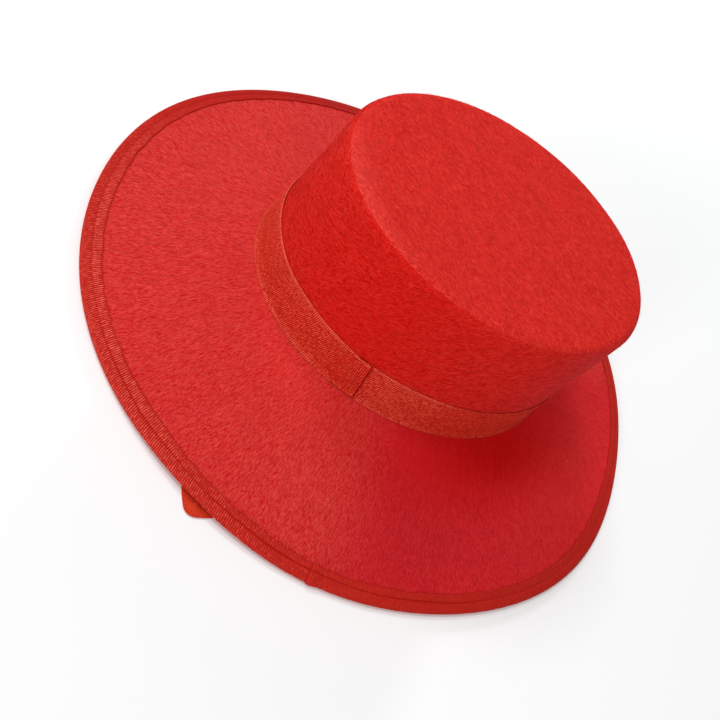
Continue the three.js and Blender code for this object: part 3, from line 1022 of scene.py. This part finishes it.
def reach_more(angle):
    """How much farther in than its usual width the tape's inner edge lies."""
    return sum(more * bell(angle, middle, half_width) for middle, half_width, more in BINDING_REACHES)


def stitch_angles():
    """Where the binding's seam has its stitches: a hand-guided machine's uneven steps."""
    run = np.cumsum(np.random.default_rng(36).uniform(0.0029, 0.0047, 400))
    run = run[run < EDGE_GIRTH - 0.002]
    return BINDING_JOIN_ANGLE + run / EDGE_GIRTH * 360


def edge_ring(angle):
    a = np.radians(angle)
    return joined(np.cos(a), np.sin(a), 0) * EDGE_R


def seam_stray(angle):
    """How far in from its usual line the seam wanders."""
    return 0.00020 * ripple(edge_ring(angle), 0.05, seed=31)


# Stretches of the binding, each as its middle and half width in degrees: where the seam is pressed in at
# the join, the ribs' painted highlights and shade are strongest, the tape has painted shade as it lies in
# the hat's own shade, and its outer half is the darker one.
SEAM_PRESSED = (-12, 22)
RIBS_CLEAR = (-72, 100)
TAPE_SHADED = (-156, 36)
TAPE_FOLDED = (-85, 36)


def stitch_pull(angle):
    """1 at a stitch of the seam and 0 between stitches."""
    stitches = stitch_angles()
    after = np.searchsorted(stitches, angle)
    near = (stitches[np.clip(after - step, 0, len(stitches) - 1)] for step in (0, 1))
    away = np.minimum(*(np.abs(angle - stitch) for stitch in near)) / 360 * EDGE_GIRTH
    return np.exp(-((away / 0.0007) ** 2))


def make_binding():
    outline = binding_outline()
    rows = len(outline)
    run = run_along(outline)
    nose = np.argmax(outline[:, 0])
    reach = run - run[nose]
    tangent = unit(np.gradient(outline, axis=0))
    outside = joined(-tangent[:, 1], tangent[:, 0])
    ribs = round(EDGE_GIRTH / BINDING_RIB)
    columns = ribs * 4
    share = np.arange(columns)[:, None] / columns
    turn = BINDING_JOIN_ANGLE + share * 360
    ring = edge_ring(turn)
    leaning = smooth(np.minimum(share, 1 - share) * 360 / 26) * (1 + 0.12 * ripple(ring, 0.06, seed=35))
    half_reach = np.clip(reach, -0.006, 0.006)
    slant = half_reach * math.tan(math.radians(19)) + (reach - half_reach) * math.tan(math.radians(12))
    angle = turn + np.degrees(slant * leaning / EDGE_R)
    bulge = rib_bulge(share * ribs + 0.5, 1.0)

    on_top = np.arange(rows) < TOP_ROWS
    from_edge = EDGE_R - outline[:, 0]
    seam = np.exp(-(((from_edge - BINDING_SEAM) / 0.00028) ** 2)) * on_top
    beside_seam = np.exp(-(((from_edge - BINDING_SEAM) / 0.0012) ** 2)) * on_top
    past_seam = np.clip((from_edge - BINDING_SEAM) / (BINDING_WIDTH - BINDING_SEAM), 0, 1) * on_top
    seam_depth = 0.12 + 0.45 * bell(turn, *SEAM_PRESSED) + 0.2 * ripple(ring, 0.10, seed=37)
    seam_depth = np.maximum(0.05, seam_depth)
    wave = 0.00018 * ripple(ring, 0.008, seed=33) + 0.0003 * ripple(ring, 0.2, seed=34)
    inward = past_seam * (reach_more(turn) + wave) + beside_seam * seam_stray(turn)
    slope = brim_height(FOOT_R, 0) - brim_height(FOOT_R + 1, 0)
    flat = on_hat(outline[:, 0] - inward, outline[:, 1] + slope * inward, angle)

    pull = stitch_pull(angle) * seam
    puff = np.sin(math.pi * np.clip((from_edge - NOSE) / (BINDING_SEAM - NOSE), 0, 1)) * 0.00014
    puff = puff + np.sin(math.pi * past_seam) * 0.00012
    from_inner = np.minimum(run, run[-1] - run)
    gape = smooth(1 - from_inner / 0.0035) * 0.00010 * np.maximum(0, ripple(flat, 0.011, seed=32)) * on_top
    after_join = share * EDGE_GIRTH
    join = 0.0007 * smooth((share * columns - 1) / 3) * smooth((0.0085 - after_join) / 0.006)
    edge_fade = np.clip(from_inner / 0.0006, 0, 1) ** 0.5
    relief = RIB_RELIEF * 1.5 * bulge * (1 - 0.6 * seam) * edge_fade
    out = puff * on_top + gape + join + relief - seam * (0.00004 + 0.00012 * seam_depth) - pull * 0.00012
    out = np.where(outline[:, 1] < 0.0009, np.minimum(out, 0.0), out)
    outer_r = outline[:, 0] - inward + outside[:, 0] * out
    outer_z = np.maximum(outline[:, 1] + slope * inward + outside[:, 1] * out, 0)
    outer = on_hat(outer_r, outer_z, angle)
    loops = np.zeros(rows)
    loops[[0, -1]] = 0.00026
    shift = -(bulge - 0.5) * loops
    outer = outer + unit(outer * [1, 1, 0]) * shift[..., None]
    keep = np.array([0, TOP_ROWS - 1, nose + 1, rows - 1])
    back = outline[keep] - outside[keep] * CAD_RIBBON * 0.7
    inner = on_hat(back[:, 0] - inward[:, keep], back[:, 1] + slope * inward[:, keep], angle[:, keep])
    inner += unit(inner * [1, 1, 0]) * shift[:, keep, None]
    points = np.concatenate([outer, inner[:, ::-1]], 1)
    faces = [grid_faces(columns, rows + len(keep), closed_columns=True, closed_rows=True)]

    # The ribs' painted highlights and shade are strongest round RIBS_CLEAR and faint on the far side.
    past = np.clip(degrees_past(RIBS_CLEAR[0], turn) / RIBS_CLEAR[1], -1, 1)
    clarity = 0.15 + 0.40 * (1 + np.cos(math.pi * past))
    tone = 0.4 + (bulge * (0.5 + 0.5 * edge_fade) - 0.4) * clarity
    tone = tone - 0.26 * bell(turn, *TAPE_SHADED)
    folded = lerp(0.17, 0.07, smooth((from_edge - BINDING_SEAM) / 0.0008 + 0.5))
    tone = tone - folded * bell(turn, *TAPE_FOLDED)
    # Painted shade in the seam's groove and at its stitches, and a dark line at the tape's join.
    tone = tone - seam * seam_depth - 0.4 * pull - 0.5 * smooth(1 - after_join / 0.0005)
    tone = np.concatenate([tone, np.zeros((columns, len(keep)))], 1)
    weave = (after_join, np.concatenate([run, run[keep][::-1]])[None], tone)
    make_ribbon("binding_tape", "binding", points, faces, weave, "brim_binding")


make_binding()

# --- Stitches ---


def thread_tubes(ends_a, ends_b, up, rise, radius):
    """Short arched threads from one point to another: points, faces and weave numbers."""
    sides, rings = 6, 7
    t = np.linspace(0, 1, rings)[None, :, None]
    line = lerp(ends_a[:, None], ends_b[:, None], t) + up[:, None] * rise * (1 - (2 * t - 1) ** 4)
    tangent = unit(np.gradient(line, axis=1))
    side = unit(np.cross(up[:, None], tangent))
    top = np.cross(tangent, side)
    turn = np.linspace(0, 2 * math.pi, sides, endpoint=False)[None, None, :, None]
    thick = radius * np.array([0.35, 0.85, 1, 1, 1, 0.85, 0.35])[None, :, None, None]
    points = line[:, :, None] + (side[:, :, None] * np.cos(turn) + top[:, :, None] * np.sin(turn)) * thick
    each = np.arange(len(ends_a))[:, None]
    starts = each * rings * sides
    quads = (grid_faces(rings, sides, closed_rows=True) + starts[..., None]).reshape(-1, 4)
    first = np.arange(sides) + starts
    last = first + (rings - 1) * sides
    along = t * np.linalg.norm(ends_b - ends_a, axis=1)[:, None, None] + 0.01 * each[..., None]
    return points, [quads, first[:, ::-1], last], joined(along, turn[..., 0] * radius, 0.0)


STITCH = {"length": 0.0017, "sunk": 0.00030, "rise": 0.00014, "radius": 0.00013}


def make_stitches():
    angles = stitch_angles()
    half = STITCH["length"] / 2 / EDGE_R
    reach = BINDING_SEAM + seam_stray(angles)
    r = EDGE_R - reach

    def at(turn, depth):
        return on_hat(r, brim_height(r, 0) + tape_top(reach) - depth, angles + np.degrees(turn))

    up = np.broadcast_to(np.array([0.2, 0.0, 1.0]) / 1.02, (len(angles), 3))
    ends = (at(turn, STITCH["sunk"]) for turn in (-half, half))
    points, faces, weave = thread_tubes(*ends, up, STITCH["rise"], STITCH["radius"])
    make_piece("binding_stitches", points, faces, MATERIALS["thread"], {"weave": weave})


make_stitches()

# --- Floor, light and view ---


# Half the floor's side, and its height just under the hat.
FLOOR_HALF, FLOOR_Z = 12.0, -0.0002
LIGHT_DISTANCE = 2.0


def make_floor():
    n = Nodes("white_floor")
    n.finish((0.985, 1.0, 1.0, 1), None, Roughness=0.9, Specular_IOR_Level=0.1)
    mesh = bpy.data.meshes.new("floor")
    corners = [(x * FLOOR_HALF, y * FLOOR_HALF, FLOOR_Z) for x, y in ((-1, -1), (1, -1), (1, 1), (-1, 1))]
    mesh.from_pydata(corners, [], [(0, 1, 2, 3)])
    mesh.materials.append(n.material)
    show("floor", mesh)


def make_light(name, azimuth, elevation, size, power):
    data = bpy.data.lights.new(name, "AREA")
    data.shape = "DISK"
    data.size = size
    data.energy = power
    light = show(name, data)
    towards = direction_at(azimuth, elevation)
    light.location = towards * LIGHT_DISTANCE
    light.rotation_mode = "QUATERNION"
    light.rotation_quaternion = towards.to_track_quat("Z", "Y")


def make_world(strength):
    world = bpy.data.worlds.new("studio")
    world.use_nodes = True
    background = world.node_tree.nodes["Background"]
    background.inputs["Color"].default_value = (1, 1, 1, 1)
    background.inputs["Strength"].default_value = strength
    bpy.context.scene.world = world


make_floor()
make_world(strength=0.40)
make_light("key", azimuth=-50, elevation=50, size=0.5, power=9.8)
make_light("rim", azimuth=-110, elevation=20, size=0.28, power=10.4)
make_light("fill", azimuth=50, elevation=20, size=0.5, power=9.8)
make_light("back", azimuth=90, elevation=50, size=0.5, power=3.2)
make_light("top", azimuth=-10, elevation=65, size=0.5, power=9.8)

view = bpy.context.scene.view_settings
view.view_transform = "Standard"
view.look = "None"
